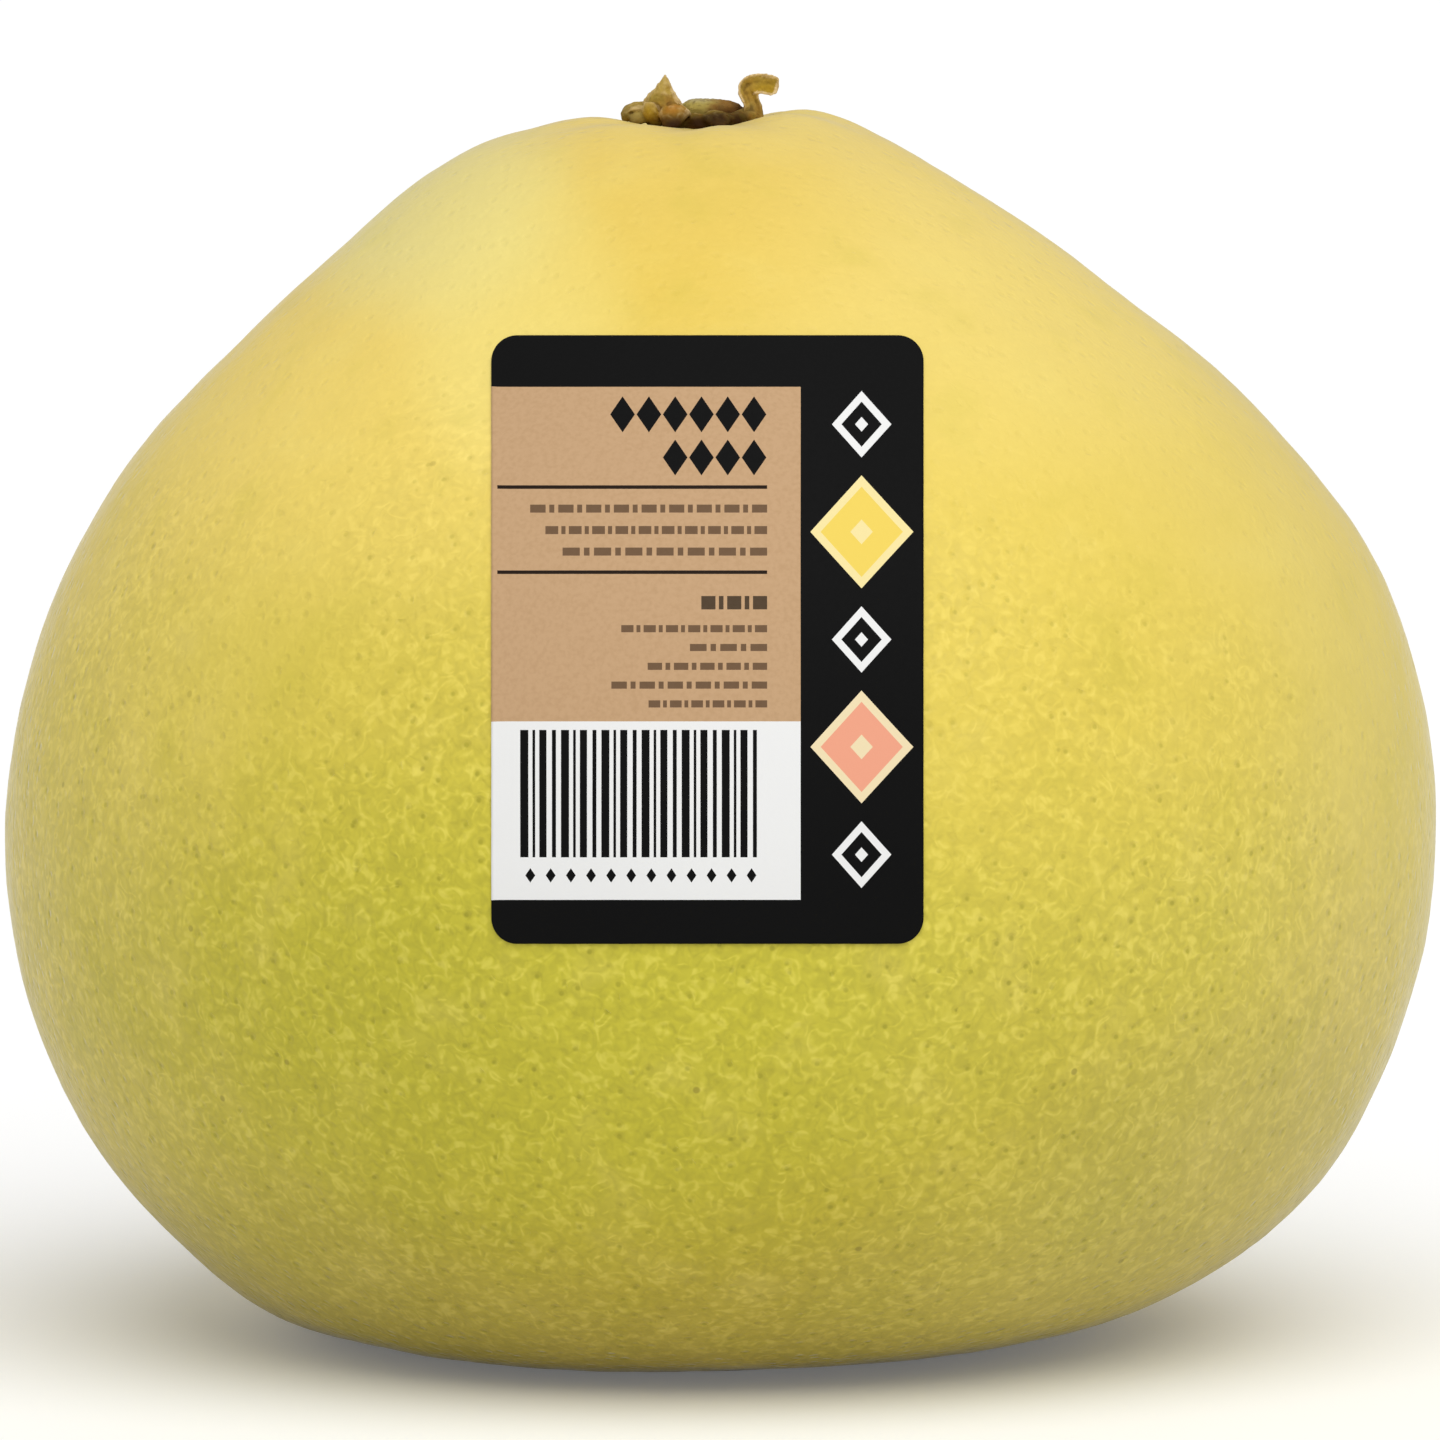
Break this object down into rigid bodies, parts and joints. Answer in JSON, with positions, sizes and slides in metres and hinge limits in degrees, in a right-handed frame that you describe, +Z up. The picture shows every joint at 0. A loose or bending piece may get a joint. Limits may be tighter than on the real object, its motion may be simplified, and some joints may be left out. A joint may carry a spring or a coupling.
{
  "type": "pomelo",
  "caption": "Whole broad pomelo that narrows to its stem end, with a dried lobed calyx and stem stub on top and a rounded label on its front; it stands on its own flat base.",
  "frame": {"origin": "on the surface that the fruit stands on, under the middle of its box", "axes": "+Z up along the stem's axis, +X to the right as the label is seen, along the widest way across the fruit, and -Y out of the label"},
  "size_m": [0.1592, 0.1552, 0.1407],
  "materials": {
    "peel": "satin",
    "calyx": "matte",
    "stem": "matte",
    "label_paper": "satin"
  },
  "bodies": {
    "root": {"pomelo_fruit": "peel", "calyx": "calyx", "stem_stub": "stem", "label": "label_paper"}
  },
  "joints": []
}
